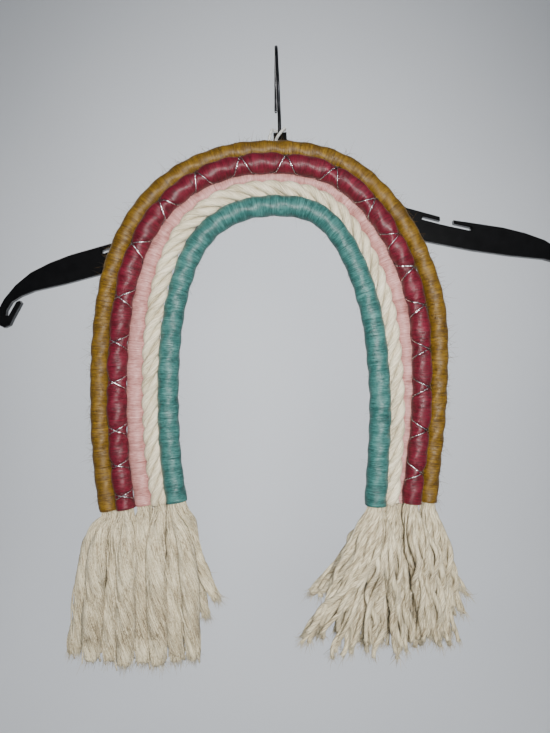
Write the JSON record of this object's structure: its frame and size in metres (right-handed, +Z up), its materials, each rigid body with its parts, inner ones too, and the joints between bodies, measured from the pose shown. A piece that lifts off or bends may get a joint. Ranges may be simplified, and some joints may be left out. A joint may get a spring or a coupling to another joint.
{
  "type": "rope rainbow wall hanging on a clothes hanger",
  "caption": "Wound cotton ropes side by side as a tall rainbow arch with combed-out fringes, tied by a string loop to a moulded clothes hanger with a wire hook.",
  "frame": {"origin": "inner top of the hook, where it sits on the top edge of a door", "axes": "+Z up, +X to the right seen from the front, +Y into the door; the arch faces -Y"},
  "size_m": [0.4447, 0.0946, 0.4698],
  "materials": {
    "mustard_yarn": "fuzzy wool winding",
    "raspberry_yarn": "soft yarn winding",
    "pink_yarn": "soft yarn winding",
    "teal_yarn": "soft yarn winding",
    "cream_cotton": "bare twisted cotton",
    "silver_thread": "metallic thread",
    "loop_string": "pale string",
    "black_plastic": "moulded, glossy",
    "hook_wire": "bright bent wire"
  },
  "bodies": {
    "root": {"rope_mustard": "mustard_yarn", "rope_raspberry": "raspberry_yarn", "rope_pink": "pink_yarn", "rope_cream": "cream_cotton", "rope_teal": "teal_yarn", "fringe_left_mustard": "cream_cotton", "fringe_left_raspberry": "cream_cotton", "fringe_left_pink": "cream_cotton", "fringe_left_cream": "cream_cotton", "fringe_left_teal": "cream_cotton", "fringe_right_mustard": "cream_cotton", "fringe_right_raspberry": "cream_cotton", "fringe_right_pink": "cream_cotton", "fringe_right_cream": "cream_cotton", "fringe_right_teal": "cream_cotton", "hanging_loop": "loop_string", "hanger_body": "black_plastic", "hanger_hook": "hook_wire"}
  },
  "joints": []
}
